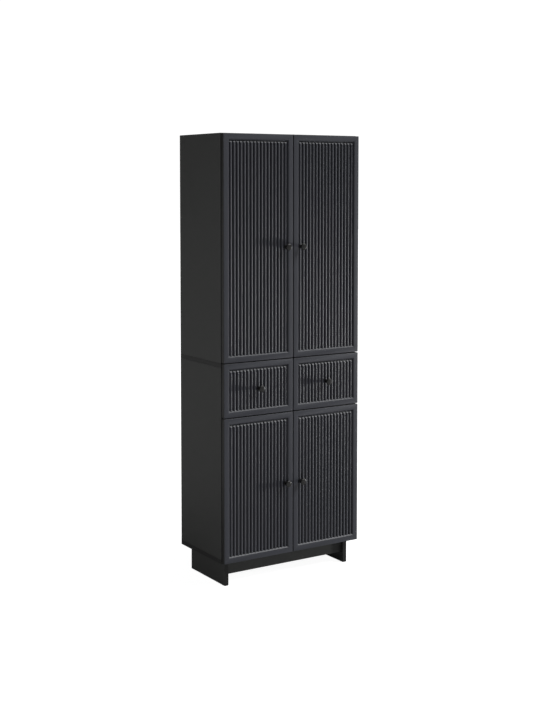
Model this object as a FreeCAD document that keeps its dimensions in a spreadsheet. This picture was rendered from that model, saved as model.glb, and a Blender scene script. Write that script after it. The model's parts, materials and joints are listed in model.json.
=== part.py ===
import FreeCAD, Part
import os
import Sketcher

# Two-module pantry cabinet: tall doors over two drawers over short doors, on a pair of foot panels.
# Frame: millimetres, +Z up, fronts face -Y, origin under the middle of the whole cabinet on the floor.
# Driving dimensions stand in the sheet "size"; reference planes worked out from them stand in "line".

doc = FreeCAD.newDocument("pantry_cabinet")

driving = [
    ("cab_width", 650, "overall width"),
    ("cab_height", 1800, "overall height"),
    ("carcass_depth", 332, "front edge to rear edge of the side boards"),
    ("split_height", 900, "floor to the joint between the two modules"),
    ("drawer_height", 217, "module joint down to the middle of the gap under the drawers"),
    ("base_height", 99, "floor to the underside of the lower module"),
    ("board", 18, "thickness of carcass boards"),
    ("back_thick", 5, "thickness of the back panels"),
    ("back_inset", 6, "rear edge of the sides to the back panel"),
    ("front_thick", 20, "thickness of doors and drawer fronts"),
    ("front_gap", 2, "carcass edge to the back of a closed front"),
    ("side_reveal", 1, "outer side face to the edge of a front"),
    ("top_reveal", 2, "carcass top to the edge of a tall door"),
    ("under_reveal", 5.5, "carcass underside to the edge of a short door"),
    ("centre_gap", 3.5, "gap between left and right fronts"),
    ("row_gap", 4, "gap between fronts one above the other"),
    ("frame_width", 26, "raised frame with its bevel"),
    ("frame_bevel", 4.5, "width of the bevel on the inner edge of the frame"),
    ("bevel_depth", 4.5, "depth of that bevel, measured from the frame's face"),
    ("frame_thick", 7, "thickness of the raised frame"),
    ("reed_count", 17, "reeds across one front"),
    ("reed_groove", 3.4, "flat groove between two reeds"),
    ("reed_rise", 5, "height of a reed over the groove"),
    ("knob_reach", 26, "frame face to the tip of a knob"),
    ("knob_radius", 14, "head of a knob"),
    ("knob_edge", 4.5, "rounding of the knob's rim, half its head thickness"),
    ("knob_neck", 6.5, "radius of the knob's neck"),
    ("knob_foot", 8, "radius of the knob where it meets the front"),
    ("shelf_thick", 16, "thickness of loose shelves"),
    ("shelf_play", 1, "gap between a loose shelf and the boards round it"),
    ("shelf_setback", 22, "carcass front to the front edge of a shelf"),
    ("pin_radius", 2.5, "shelf pin"),
    ("pin_depth", 10, "length of a shelf pin inside the side board"),
    ("pin_reach", 8, "length of a shelf pin under the shelf"),
    ("pin_inset", 50, "carcass front or back panel to a row of pin holes"),
    ("pin_pitch", 32, "step between pin holes"),
    ("fixed_play", 0.1, "radial play round pins, bolts and hinge cups"),
    ("rail_height", 80, "wall rail under the top board"),
    ("wall_hole", 2.75, "radius of a wall fixing hole"),
    ("wall_spacing", 400, "distance between the wall fixing holes"),
    ("foot_thick", 18, "thickness of a foot panel"),
    ("foot_inset", 26, "side face to the outer face of a foot panel"),
    ("foot_front", 20, "carcass front to the front edge of a foot panel"),
    ("foot_rear", 39, "rear edge of a foot panel to the rear edge of the carcass"),
    ("apron_drop", 55, "height of the apron and the rear rail of the base"),
    ("apron_inset", 13, "front edge of the feet to the apron"),
    ("apron_thick", 16, "thickness of the apron and the rear rail of the base"),
    ("glide_thick", 2, "thickness of a foot glide"),
    ("glide_radius", 7, "radius of a foot glide"),
    ("glide_inset", 22, "end of a foot panel to the middle of a glide"),
    ("hinge_inset", 90, "edge of a door to its outer hinges"),
    ("hinge_shift", 62, "middle of a tall door to its middle hinge, clear of the shelf"),
    ("cup_radius", 17.5, "hinge cup outside"),
    ("cup_wall", 1, "wall and floor of a hinge cup"),
    ("cup_skin", 1.5, "board left in front of a hinge cup"),
    ("cup_inset", 22.5, "hinge edge of a door to the middle of a cup"),
    ("flange_thick", 1.2, "screw flange of a hinge cup"),
    ("flange_half", 26, "middle of a cup to the end of its flange"),
    ("plate_thick", 4, "thickness of a mounting plate"),
    ("arm_width", 9, "width of a hinge arm"),
    ("arm_half", 6, "half the height of a hinge arm"),
    ("arm_nose", 7, "length of the arm ahead of the carcass"),
    ("arm_length", 62, "length of the arm behind the carcass front"),
    ("plate_start", 22, "carcass front to the mounting plate of a hinge"),
    ("plate_half", 24, "half the height of a mounting plate"),
    ("box_side_gap", 12.7, "room for a runner beside a drawer box"),
    ("box_wall", 12, "thickness of drawer box walls"),
    ("box_floor", 5, "thickness of a drawer bottom"),
    ("box_floor_lift", 8, "lower edge of the box walls to the drawer bottom"),
    ("box_head_room", 33, "drawer box to the board above it"),
    ("box_rear_room", 31, "drawer box to the back panel"),
    ("box_lift", 18, "drawer deck to the drawer box"),
    ("runner_start", 4, "carcass front to the front end of a runner"),
    ("runner_rear_room", 37, "rear end of a runner to the back panel"),
    ("runner_sheet", 1.2, "sheet thickness of a runner"),
    ("outer_half", 22.5, "half the height of the cabinet member of a runner"),
    ("outer_width", 9.5, "width of the cabinet member of a runner"),
    ("inner_half", 16, "half the height of the drawer member of a runner"),
    ("inner_start", 3, "carcass wall to the drawer member of a runner"),
    ("bolt_radius", 3, "bolt between the modules"),
    ("bolt_head", 6.5, "radius of a bolt's head and nut"),
    ("head_thick", 3, "thickness of a bolt's head"),
    ("nut_thick", 5, "thickness of a bolt's nut"),
    ("bolt_inset", 60, "inner face of a side, front or back panel to a bolt"),
    ("cam_radius", 7.5, "cam lock"),
    ("cam_depth", 12.5, "depth of a cam lock"),
    ("cam_inset", 34, "end of a board to its cam locks"),
    ("cam_setback", 70, "front or rear edge of a board to its cam locks"),
    ("bumper_radius", 2.8, "door bumper"),
    ("bumper_play", 0.4, "bumper to the closed front"),
    ("bumper_inset", 4, "edge of a front to the middle of its bumper"),
    ("bumper_side", 25, "middle of the cabinet to the door bumpers"),
]

sheet = doc.addObject("Spreadsheet::Sheet", "size")
for row, (alias, value, note) in enumerate(driving, start=1):
    sheet.set("A%d" % row, note)
    sheet.set("B%d" % row, str(value))
    sheet.setAlias("B%d" % row, alias)

planes = [
    ("half", "size.cab_width / 2"),
    ("side_inner", "size.cab_width / 2 - size.board"),
    ("back_plane", "(size.carcass_depth + size.front_gap + size.front_thick + size.knob_reach) / 2"),
    ("carcass_front", "line.back_plane - size.carcass_depth"),
    ("back_front", "line.back_plane - size.back_inset - size.back_thick"),
    ("back_rear", "line.back_plane - size.back_inset"),
    ("front_rear", "line.carcass_front - size.front_gap"),
    ("front_face", "line.front_rear - size.front_thick"),
    ("panel_face", "line.front_face + size.frame_thick"),
    ("reed_crown", "line.panel_face - size.reed_rise"),
    ("front_width", "line.half - size.side_reveal - size.centre_gap / 2"),
    ("field_width", "line.front_width - 2 * size.frame_width"),
    ("reed_pitch", "line.field_width / size.reed_count"),
    ("reed_half", "(line.reed_pitch - size.reed_groove) / 2"),
    ("reed_radius", "(line.reed_half ^ 2 + size.reed_rise ^ 2) / (2 * size.reed_rise)"),
    ("cup_front", "line.panel_face + size.cup_skin"),
    ("lower_floor", "size.base_height + size.board"),
    ("lower_ceiling", "size.split_height - size.board"),
    ("upper_floor", "size.split_height + size.board"),
    ("upper_ceiling", "size.cab_height - size.board"),
    ("drawer_line", "size.split_height - size.drawer_height"),
    ("deck_top", "line.drawer_line + size.board / 2"),
    ("deck_under", "line.drawer_line - size.board / 2"),
    ("opening_width", "line.side_inner - size.board / 2"),
    ("opening_mid", "(line.side_inner + size.board / 2) / 2"),
    ("box_half", "line.opening_width / 2 - size.box_side_gap"),
    ("box_under", "line.deck_top + size.box_lift"),
    ("box_top", "line.lower_ceiling - size.box_head_room"),
    ("runner_mid", "(line.box_under + line.box_top) / 2"),
    ("foot_front_y", "line.carcass_front + size.foot_front"),
    ("foot_rear_y", "line.back_plane - size.foot_rear"),
    ("foot_inner", "line.half - size.foot_inset - size.foot_thick"),
]

line = doc.addObject("App::VarSet", "line")
for name, rule in planes:
    line.addProperty("App::PropertyFloat", name, "Layout")
    line.setExpression(name, rule)
doc.recompute()

along = {
    "x": FreeCAD.Rotation(FreeCAD.Vector(0, 1, 0), 90),
    "y": FreeCAD.Rotation(FreeCAD.Vector(1, 0, 0), -90),
    "z": FreeCAD.Rotation(),
}
parts = []


def put(obj, x, y, z):
    """Binds the place of an object to three expressions."""
    for axis, rule in (("x", x), ("y", y), ("z", z)):
        obj.setExpression("Placement.Base." + axis, str(rule))


def block(name, x, y, z):
    """A box between three pairs of expressions."""
    box = doc.addObject("Part::Box", name)
    for size, (low, high) in (("Length", x), ("Width", y), ("Height", z)):
        box.setExpression(size, "(%s) - (%s)" % (high, low))
    put(box, x[0], y[0], z[0])
    return box


def rod(name, axis, start, radius, length):
    """A cylinder that runs from its start point along +x, +y or +z."""
    cylinder = doc.addObject("Part::Cylinder", name)
    cylinder.Placement = FreeCAD.Placement(FreeCAD.Vector(), along[axis])
    cylinder.setExpression("Radius", radius)
    cylinder.setExpression("Height", length)
    put(cylinder, *start)
    return cylinder


def group(name, members):
    """Several separate solids in one object."""
    bundle = doc.addObject("Part::Compound", name)
    bundle.Links = members
    return bundle


def cut(name, blank, tools):
    """A blank with a list of tools taken away."""
    result = doc.addObject("Part::Cut", name)
    result.Base = blank
    result.Tool = tools[0] if len(tools) == 1 else group(name + "_tools", tools)
    return result


def fuse(name, members):
    joined = doc.addObject("Part::MultiFuse", name)
    joined.Shapes = members
    joined.Refine = True
    return joined


def keep(name, obj):
    """Marks an object as a sub-part whose label is its file name."""
    obj.Label = name
    parts.append(obj)


def mirrored(sign, near, far):
    """A pair of x expressions for the left (-1) or right (+1) hand, low end first."""
    if sign < 0:
        return ("-(%s)" % far, "-(%s)" % near)
    return (near, far)


def size_of(alias):
    """The present value of a driving dimension."""
    return float(sheet.get(alias))


def origin_plane(body, role):
    return [feature for feature in body.Origin.OriginFeatures if feature.Role == role][0]


def rectangle(sketch, corners):
    """A closed rectangle in a sketch, its two corners bound to expressions."""
    (x0, y0), (x1, y1) = corners
    points = [FreeCAD.Vector(px, py, 0) for px, py in ((0, 0), (10, 0), (10, 10), (0, 10))]
    for index in range(4):
        sketch.addGeometry(Part.LineSegment(points[index], points[(index + 1) % 4]), False)
    for index in range(4):
        sketch.addConstraint(Sketcher.Constraint("Coincident", index, 2, (index + 1) % 4, 1))
    for index in (0, 2):
        sketch.addConstraint(Sketcher.Constraint("Horizontal", index))
    for index in (1, 3):
        sketch.addConstraint(Sketcher.Constraint("Vertical", index))
    origin = (-1, 1)
    for kind, vertex, value, rule in (
        ("DistanceX", (0, 1), 0.0, x0),
        ("DistanceY", (0, 1), 0.0, y0),
        ("DistanceX", (2, 1), 10.0, x1),
        ("DistanceY", (2, 1), 10.0, y1),
    ):
        number = sketch.addConstraint(Sketcher.Constraint(kind, *origin, *vertex, value))
        sketch.setExpression("Constraints[%d]" % number, rule)


def section_sketch(body, name):
    """A sketch on the body's own XY plane."""
    sketch = body.newObject("Sketcher::SketchObject", name)
    sketch.AttachmentSupport = [(origin_plane(body, "XY_Plane"), "")]
    sketch.MapMode = "FlatFace"
    return sketch


# ---- carcass boards ----

def pin_heights(floor, ceiling, count):
    """Middle heights of the shelf pins, one for each shelf, shelves spread evenly."""
    rules = []
    for index in range(1, count + 1):
        share = "%s + (%s - %s) * %d / %d" % (floor, ceiling, floor, index, count + 1)
        rules.append("%s - size.shelf_thick / 2 - size.pin_radius" % share)
    return rules


upper_pins = pin_heights("line.upper_floor", "line.upper_ceiling", 3)
lower_pins = pin_heights("line.lower_floor", "line.deck_under", 1)
pin_rows = ("line.carcass_front + size.pin_inset", "line.back_front - size.pin_inset")
hole_steps = (-2, -1, 0, 1, 2)


def side_board(name, sign, z, heights):
    """A side board with its two rows of shelf pin holes."""
    edges = mirrored(sign, "line.side_inner", "line.half")
    blank = block(name + "_blank", edges, ("line.carcass_front", "line.back_plane"), z)
    start = "line.side_inner" if sign > 0 else "-line.side_inner - size.pin_depth"
    holes = []
    for height in heights:
        for step in hole_steps:
            for row in pin_rows:
                where = (start, row, "%s + %d * size.pin_pitch" % (height, step))
                label = "%s_hole_%d" % (name, len(holes))
                holes.append(rod(label, "x", where, "size.pin_radius + size.fixed_play", "size.pin_depth"))
    keep(name, cut(name, blank, holes))


hands = (("left", -1), ("right", 1))
for hand, sign in hands:
    side_board("upper_%s_side" % hand, sign, ("size.split_height", "size.cab_height"), upper_pins)
    side_board("lower_%s_side" % hand, sign, ("line.lower_floor", "line.lower_ceiling"), lower_pins)

between_sides = ("-line.side_inner", "line.side_inner")
full_width = ("-line.half", "line.half")
full_depth = ("line.carcass_front", "line.back_plane")
depth_to_back = ("line.carcass_front", "line.back_front")


def cam_places(under):
    """Start points of the four cam locks in the underside of a board between the sides."""
    across = "(line.side_inner - size.cam_inset)"
    rows = ("line.carcass_front + size.cam_setback", "line.back_front - size.cam_setback")
    return [("%d * %s" % (sign, across), row, under) for sign in (-1, 1) for row in rows]


cams = []


def cam_bores(name, under):
    """Bores for the cam locks of one board; the cams themselves are collected on the way."""
    bores = []
    for index, where in enumerate(cam_places(under)):
        bores.append(rod("%s_cam_bore_%d" % (name, index), "z", where,
                         "size.cam_radius + size.fixed_play", "size.cam_depth"))
        cams.append(rod("%s_cam_%d" % (name, index), "z", where, "size.cam_radius", "size.cam_depth"))
    return bores


bolt_x = "(line.side_inner - size.bolt_inset)"
bolt_rows = ("line.carcass_front + size.bolt_inset", "line.back_front - size.bolt_inset")
bolt_axes = [("%d * %s" % (sign, bolt_x), row) for sign in (-1, 1) for row in bolt_rows]


def bolt_bores(name, under):
    return [rod("%s_bolt_bore_%d" % (name, index), "z", (x, y, under),
                "size.bolt_radius + size.fixed_play", "size.board")
            for index, (x, y) in enumerate(bolt_axes)]


def carcass_boards():
    blank = block("upper_top_blank", between_sides, full_depth, ("line.upper_ceiling", "size.cab_height"))
    keep("upper_top", cut("upper_top", blank, cam_bores("upper_top", "line.upper_ceiling")))

    blank = block("upper_bottom_blank", between_sides, full_depth, ("size.split_height", "line.upper_floor"))
    bores = cam_bores("upper_bottom", "size.split_height") + bolt_bores("upper_bottom", "size.split_height")
    keep("upper_bottom", cut("upper_bottom", blank, bores))

    blank = block("lower_top_blank", full_width, full_depth, ("line.lower_ceiling", "size.split_height"))
    keep("lower_top", cut("lower_top", blank, bolt_bores("lower_top", "line.lower_ceiling")))

    bottom_z = ("size.base_height", "line.lower_floor")
    keep("lower_bottom", block("lower_bottom", full_width, full_depth, bottom_z))

    blank = block("drawer_deck_blank", between_sides, depth_to_back, ("line.deck_under", "line.deck_top"))
    keep("drawer_deck", cut("drawer_deck", blank, cam_bores("drawer_deck", "line.deck_under")))

    middle = ("-size.board / 2", "size.board / 2")
    divider_z = ("line.deck_top", "line.lower_ceiling")
    keep("drawer_divider", block("drawer_divider", middle, depth_to_back, divider_z))


def wall_bores(name, start, length):
    height = "line.upper_ceiling - size.rail_height / 2"
    return [rod("%s_wall_bore_%d" % (name, index), "y", ("%d * size.wall_spacing / 2" % sign, start, height),
                "size.wall_hole", length)
            for index, sign in enumerate((-1, 1))]


def backs_and_wall_rail():
    back_depth = ("line.back_front", "line.back_rear")
    upper_z = ("line.upper_floor", "line.upper_ceiling")
    lower_z = ("line.lower_floor", "line.lower_ceiling")
    blank = block("upper_back_blank", between_sides, back_depth, upper_z)
    bores = wall_bores("upper_back", "line.back_front", "size.back_thick")
    keep("upper_back", cut("upper_back", blank, bores))
    keep("lower_back", block("lower_back", between_sides, back_depth, lower_z))

    rail_depth = ("line.back_front - size.board", "line.back_front")
    rail_z = ("line.upper_ceiling - size.rail_height", "line.upper_ceiling")
    blank = block("wall_rail_blank", between_sides, rail_depth, rail_z)
    keep("wall_rail", cut("wall_rail", blank, wall_bores("wall_rail", rail_depth[0], "size.board")))


def shelf(name, pin_height):
    across = ("-line.side_inner + size.shelf_play", "line.side_inner - size.shelf_play")
    depth = ("line.carcass_front + size.shelf_setback", "line.back_front - size.shelf_play")
    under = "%s + size.pin_radius" % pin_height
    keep(name, block(name, across, depth, (under, under + " + size.shelf_thick")))


def shelves_and_pins():
    for name, height in zip(("upper_shelf_low", "upper_shelf_middle", "upper_shelf_high"), upper_pins):
        shelf(name, height)
    shelf("lower_shelf", lower_pins[0])

    pins = []
    length = "size.pin_depth + size.pin_reach"
    for height in upper_pins + lower_pins:
        for start in ("-line.side_inner - size.pin_depth", "line.side_inner - size.pin_reach"):
            for row in pin_rows:
                pins.append(rod("pin_%d" % len(pins), "x", (start, row, height), "size.pin_radius", length))
    keep("shelf_pins", group("shelf_pins", pins))


def fasteners():
    keep("cam_locks", group("cam_locks", cams))
    bolts = []
    for index, (x, y) in enumerate(bolt_axes):
        nut_under = "line.lower_ceiling - size.nut_thick"
        shank = rod("shank_%d" % index, "z", (x, y, nut_under), "size.bolt_radius",
                    "2 * size.board + size.nut_thick + size.head_thick")
        nut = rod("nut_%d" % index, "z", (x, y, nut_under), "size.bolt_head", "size.nut_thick")
        head = rod("head_%d" % index, "z", (x, y, "line.upper_floor"), "size.bolt_head", "size.head_thick")
        bolts.append(fuse("bolt_%d" % index, [shank, nut, head]))
    keep("module_bolts", group("module_bolts", bolts))


# ---- base ----

def base():
    foot_depth = ("line.foot_front_y", "line.foot_rear_y")
    outer = "line.half - size.foot_inset"
    for hand, sign in hands:
        foot_x = mirrored(sign, "line.foot_inner", outer)
        foot_z = ("size.glide_thick", "size.base_height")
        keep(hand + "_foot", block(hand + "_foot", foot_x, foot_depth, foot_z))

    between_feet = ("-line.foot_inner", "line.foot_inner")
    drop = ("size.base_height - size.apron_drop", "size.base_height")
    front = "line.foot_front_y + size.apron_inset"
    keep("base_apron", block("base_apron", between_feet, (front, front + " + size.apron_thick"), drop))
    rear = "line.foot_rear_y - size.apron_thick"
    keep("base_back_rail", block("base_back_rail", between_feet, (rear, "line.foot_rear_y"), drop))

    glides = []
    middle = "(line.foot_inner + size.foot_thick / 2)"
    for hand, sign in hands:
        for row in ("line.foot_front_y + size.glide_inset", "line.foot_rear_y - size.glide_inset"):
            where = ("%d * %s" % (sign, middle), row, "0")
            glides.append(rod("glide_%d" % len(glides), "z", where, "size.glide_radius", "size.glide_thick"))
    keep("foot_glides", group("foot_glides", glides))


# ---- fronts: reeded panel, raised frame, knob ----

door_rows = {
    "upper": ("size.split_height + size.row_gap / 2", "size.cab_height - size.top_reveal"),
    "lower": ("size.base_height + size.under_reveal", "line.drawer_line - size.row_gap / 2"),
}
drawer_row = ("line.drawer_line + size.row_gap / 2", "size.split_height - size.row_gap / 2")
front_edges = ("size.centre_gap / 2", "line.half - size.side_reveal")


def reeded_board(name, sign, z):
    """Backing board of a front with its upright reeds."""
    x0, x1 = mirrored(sign, *front_edges)
    body = doc.addObject("PartDesign::Body", name + "_body")
    outline = section_sketch(body, name + "_outline")
    rectangle(outline, ((x0, "line.panel_face"), (x1, "line.front_rear")))
    slab = body.newObject("PartDesign::Pad", name + "_slab")
    slab.Profile = outline
    slab.setExpression("Length", "(%s) - (%s)" % (z[1], z[0]))
    doc.recompute()

    reed = section_sketch(body, name + "_reed_section")
    first = "(%s) + size.frame_width + line.reed_pitch / 2" % x0
    reed_segment(reed, first, "line.panel_face")
    reed.setExpression(".AttachmentOffset.Base.z", "size.frame_width")
    rib = body.newObject("PartDesign::Pad", name + "_reed")
    rib.Profile = reed
    rib.setExpression("Length", "(%s) - (%s) - 2 * size.frame_width" % (z[1], z[0]))
    doc.recompute()

    row = body.newObject("PartDesign::LinearPattern", name + "_reeds")
    row.Originals = [rib]
    row.Direction = (reed, ["H_Axis"])
    row.setExpression("Length", "line.field_width - line.reed_pitch")
    row.setExpression("Occurrences", "size.reed_count")
    body.Tip = row
    put(body, "0", "0", z[0])
    return body


def reed_segment(sketch, middle, base):
    """Section of a reed: a chord on the board's face and an arc that bulges towards the front."""
    half = line.reed_half
    crown = -size_of("reed_rise")
    ends = (FreeCAD.Vector(-half, 0, 0), FreeCAD.Vector(half, 0, 0))
    sketch.addGeometry(Part.LineSegment(*ends), False)
    sketch.addGeometry(Part.Arc(ends[0], FreeCAD.Vector(0, crown, 0), ends[1]), False)
    chord, bulge = 0, 1
    sketch.addConstraint(Sketcher.Constraint("Coincident", bulge, 1, chord, 1))
    sketch.addConstraint(Sketcher.Constraint("Coincident", bulge, 2, chord, 2))
    for constraint, rule in (
        (Sketcher.Constraint("DistanceX", -1, 1, chord, 1, -half), "%s - line.reed_half" % middle),
        (Sketcher.Constraint("DistanceY", -1, 1, chord, 1, 0.0), base),
        (Sketcher.Constraint("DistanceX", -1, 1, chord, 2, half), "%s + line.reed_half" % middle),
        (Sketcher.Constraint("DistanceY", -1, 1, chord, 2, 0.0), base),
        (Sketcher.Constraint("DistanceY", -1, 1, bulge, 3, crown + line.reed_radius),
         "line.reed_crown + line.reed_radius"),
    ):
        number = sketch.addConstraint(constraint)
        sketch.setExpression("Constraints[%d]" % number, rule)


def raised_frame(name, sign, z):
    """Frame of a front; the wedge gives its inner edges their bevel, with a straight wall behind it."""
    x0, x1 = mirrored(sign, *front_edges)
    blank = block(name + "_blank", (x0, x1), ("line.front_face", "line.panel_face"), z)
    opening = doc.addObject("Part::Wedge", name + "_opening")
    flat = "(size.frame_width - size.frame_bevel)"
    for prop, rule in (
        ("Xmin", "(%s) + %s" % (x0, flat)), ("Xmax", "(%s) - %s" % (x1, flat)),
        ("X2min", "(%s) + size.frame_width" % x0), ("X2max", "(%s) - size.frame_width" % x1),
        ("Zmin", "(%s) + %s" % (z[0], flat)), ("Zmax", "(%s) - %s" % (z[1], flat)),
        ("Z2min", "(%s) + size.frame_width" % z[0]), ("Z2max", "(%s) - size.frame_width" % z[1]),
        ("Ymin", "line.front_face"), ("Ymax", "line.front_face + size.bevel_depth"),
    ):
        opening.setExpression(prop, rule)
    straight = block(name + "_straight", ("(%s) + size.frame_width" % x0, "(%s) - size.frame_width" % x1),
                     ("line.front_face + size.bevel_depth", "line.panel_face"),
                     ("(%s) + size.frame_width" % z[0], "(%s) - size.frame_width" % z[1]))
    return cut(name, blank, [fuse(name + "_hollow", [opening, straight])])


def knob(name, x, z):
    """Turned knob: a foot that tapers to a neck, and a head with a full round rim."""
    head_mid = "line.front_face - size.knob_reach + size.knob_edge"
    tip = "line.front_face - size.knob_reach"
    foot = doc.addObject("Part::Cone", name + "_foot")
    foot.Placement = FreeCAD.Placement(FreeCAD.Vector(), along["y"])
    foot.setExpression("Radius1", "size.knob_neck")
    foot.setExpression("Radius2", "size.knob_foot")
    foot.setExpression("Height", "line.reed_crown - (%s)" % head_mid)
    put(foot, x, head_mid, z)
    core = rod(name + "_core", "y", (x, tip, z), "size.knob_radius - size.knob_edge", "2 * size.knob_edge")
    rim = doc.addObject("Part::Torus", name + "_rim")
    rim.Placement = FreeCAD.Placement(FreeCAD.Vector(), along["y"])
    rim.setExpression("Radius1", "size.knob_radius - size.knob_edge")
    rim.setExpression("Radius2", "size.knob_edge")
    put(rim, x, head_mid, z)
    return fuse(name, [foot, core, rim])


# ---- hinges ----

def hinge_heights(level):
    low, high = door_rows[level]
    heights = ["%s + size.hinge_inset" % low, "%s - size.hinge_inset" % high]
    if level == "upper":
        heights.append("(%s + %s) / 2 + size.hinge_shift" % (low, high))
    return heights


def hinge_cups(name, sign, level):
    """Cups with their screw flanges, and the bores that hold them in the door's board."""
    x = "%d * (line.half - size.side_reveal - size.cup_inset)" % sign
    depth = "line.front_rear - line.cup_front"
    cups = []
    bores = []
    for index, z in enumerate(hinge_heights(level)):
        label = "%s_%d" % (name, index)
        shell = rod(label + "_shell", "y", (x, "line.cup_front", z), "size.cup_radius", depth)
        flange = block(label + "_flange", ("%s - size.cup_radius / 2" % x, "%s + size.cup_radius / 2" % x),
                       ("line.front_rear", "line.front_rear + size.flange_thick"),
                       ("%s - size.flange_half" % z, "%s + size.flange_half" % z))
        lip = rod(label + "_lip", "y", (x, "line.front_rear", z), "size.cup_radius", "size.flange_thick")
        hollow = rod(label + "_hollow", "y", (x, "line.cup_front + size.cup_wall", z),
                     "size.cup_radius - size.cup_wall", depth + " + size.flange_thick")
        solid = fuse(label + "_solid", [shell, flange, lip])
        cups.append(cut(label, solid, [hollow]))
        bores.append(rod(label + "_bore", "y", (x, "line.cup_front", z),
                         "size.cup_radius + size.fixed_play", depth))
    return cups, bores


def hinge_arms(level):
    """Mounting plates on the side boards with the arms that reach into the cups."""
    arms = []
    for hand, sign in hands:
        arm_outer = "line.side_inner - size.plate_thick"
        arm_x = mirrored(sign, "%s - size.arm_width" % arm_outer, arm_outer)
        plate_x = mirrored(sign, arm_outer, "line.side_inner")
        for index, z in enumerate(hinge_heights(level)):
            label = "%s_%s_hinge_%d" % (level, hand, index)
            rear = "line.carcass_front + size.arm_length"
            arm = block(label + "_arm", arm_x, ("line.carcass_front - size.arm_nose", rear),
                        ("%s - size.arm_half" % z, "%s + size.arm_half" % z))
            plate = block(label + "_plate", plate_x, ("line.carcass_front + size.plate_start", rear),
                          ("%s - size.plate_half" % z, "%s + size.plate_half" % z))
            arms.append(fuse(label, [arm, plate]))
    keep(level + "_hinge_arms", group(level + "_hinge_arms", arms))


def doors():
    for level in ("upper", "lower"):
        z = door_rows[level]
        for hand, sign in hands:
            name = "%s_%s_door" % (level, hand)
            cups, bores = hinge_cups(name + "_cup", sign, level)
            panel = reeded_board(name + "_panel", sign, z)
            keep(name + "_panel", cut(name + "_panel_bored", panel, bores))
            keep(name + "_frame", raised_frame(name + "_frame", sign, z))
            knob_x = "%d * (size.centre_gap / 2 + size.frame_width + line.reed_pitch / 2)" % sign
            knob_z = "(%s + %s) / 2" % z
            keep(name + "_knob", knob(name + "_knob", knob_x, knob_z))
            keep(name + "_hinge_cups", group(name + "_hinge_cups", cups))
        hinge_arms(level)


# ---- drawers ----

def channel(name, x, z_half, open_side):
    """A runner member: a C section, open to the low or the high x side."""
    depth = ("line.carcass_front + size.runner_start", "line.back_front - size.runner_rear_room")
    mid = "line.runner_mid"
    outer = block(name + "_outer", x, depth, ("%s - %s" % (mid, z_half), "%s + %s" % (mid, z_half)))
    low = x[0] if open_side < 0 else "%s + size.runner_sheet" % x[0]
    high = "%s - size.runner_sheet" % x[1] if open_side < 0 else x[1]
    inner_z = ("%s - %s + size.runner_sheet" % (mid, z_half), "%s + %s - size.runner_sheet" % (mid, z_half))
    inside = block(name + "_inside", (low, high), depth, inner_z)
    return cut(name, outer, [inside])


cabinet_runners = []


def runner_pair(name, middle):
    """Both runners of a drawer; returns the members that ride on the box."""
    riding = []
    for side, facing in (("l", 1), ("r", -1)):
        wall = "(%s) - %d * line.opening_width / 2" % (middle, facing)
        fixed = ["%s + %d * (%s)" % (wall, facing, reach) for reach in ("0", "size.outer_width")]
        reaches = ("size.inner_start", "size.box_side_gap")
        moving = ["%s + %d * (%s)" % (wall, facing, reach) for reach in reaches]
        if facing < 0:
            fixed.reverse()
            moving.reverse()
        cabinet_runners.append(channel("%s_fixed_%s" % (name, side), fixed, "size.outer_half", facing))
        riding.append(channel("%s_riding_%s" % (name, side), moving, "size.inner_half", -facing))
    return riding


def drawer_box(name, sign):
    middle = "%d * line.opening_mid" % sign
    depth = ("line.front_rear", "line.back_front - size.box_rear_room")
    height = ("line.box_under", "line.box_top")
    left = "%s - line.box_half" % middle
    right = "%s + line.box_half" % middle
    sides = [
        block(name + "_side_l", (left, left + " + size.box_wall"), depth, height),
        block(name + "_side_r", (right + " - size.box_wall", right), depth, height),
    ]
    inside = (left + " + size.box_wall", right + " - size.box_wall")
    ends = [
        block(name + "_end_f", inside, (depth[0], depth[0] + " + size.box_wall"), height),
        block(name + "_end_b", inside, (depth[1] + " - size.box_wall", depth[1]), height),
    ]
    floor_under = "line.box_under + size.box_floor_lift"
    floor = block(name + "_floor", inside, (depth[0] + " + size.box_wall", depth[1] + " - size.box_wall"),
                  (floor_under, floor_under + " + size.box_floor"))
    keep(name + "_sides", group(name + "_sides", sides))
    keep(name + "_ends", group(name + "_ends", ends))
    keep(name + "_bottom", floor)
    keep(name + "_runners", group(name + "_runners", runner_pair(name, middle)))


def drawers():
    for hand, sign in hands:
        name = hand + "_drawer"
        keep(name + "_panel", reeded_board(name + "_panel", sign, drawer_row))
        keep(name + "_frame", raised_frame(name + "_frame", sign, drawer_row))
        knob_x = "%d * (size.centre_gap / 2 + line.front_width / 2)" % sign
        knob_z = "(%s + %s) / 2" % drawer_row
        keep(name + "_knob", knob(name + "_knob", knob_x, knob_z))
        drawer_box(name, sign)
    keep("cabinet_runners", group("cabinet_runners", cabinet_runners))


def bumpers():
    """Soft stops on the carcass edges, one near the top and one near the bottom of each front."""
    drawer_x = "(size.centre_gap / 2 + line.front_width / 2)"
    rows = [(door_rows["upper"], "size.bumper_side"), (door_rows["lower"], "size.bumper_side"),
            (drawer_row, drawer_x)]
    stops = []
    length = "size.front_gap - size.bumper_play"
    for (low, high), across in rows:
        for sign in (-1, 1):
            for z in ("%s + size.bumper_inset" % low, "%s - size.bumper_inset" % high):
                where = ("%d * %s" % (sign, across), "line.carcass_front - (%s)" % length, z)
                stops.append(rod("stop_%d" % len(stops), "y", where, "size.bumper_radius", length))
    keep("door_bumpers", group("door_bumpers", stops))


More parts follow.
